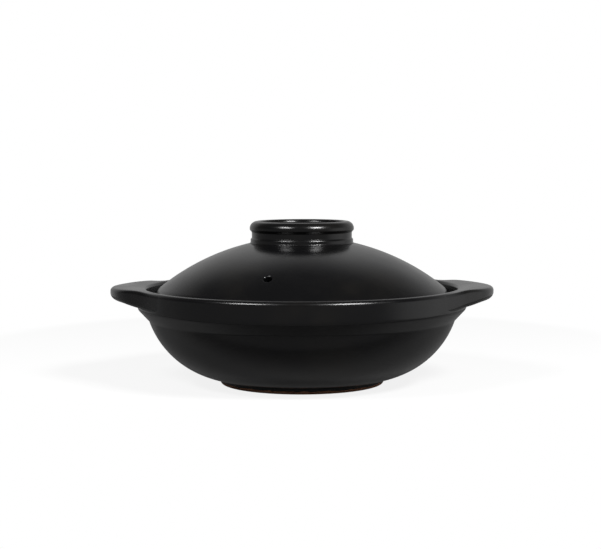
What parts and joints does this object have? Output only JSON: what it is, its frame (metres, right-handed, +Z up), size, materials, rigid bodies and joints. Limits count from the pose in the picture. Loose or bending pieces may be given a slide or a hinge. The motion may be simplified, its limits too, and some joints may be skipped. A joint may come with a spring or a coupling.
{
  "type": "donabe clay pot",
  "caption": "Low clay casserole with lug handles on its collar and a loose domed lid with a ring knob and a steam vent, for cooking at the table.",
  "frame": {"origin": "centre of the foot ring, on the table", "axes": "+Z up along the turning axis, X through the two lugs, -Y towards the side with the steam vent"},
  "size_m": [0.2958, 0.2536, 0.1254],
  "materials": {
    "pot_glaze": "satin black glaze",
    "lid_glaze": "satin black glaze"
  },
  "bodies": {
    "pot": {"pot_bowl": "pot_glaze", "lug_left": "pot_glaze", "lug_right": "pot_glaze"},
    "lid": {"lid_dome": "lid_glaze", "lid_knob_ring": "lid_glaze"}
  },
  "joints": [
    {"name": "lid_lift", "type": "slide", "parent": "pot", "child": "lid", "axis": [0, 0, 1], "range_m": [0, 0.12]}
  ]
}
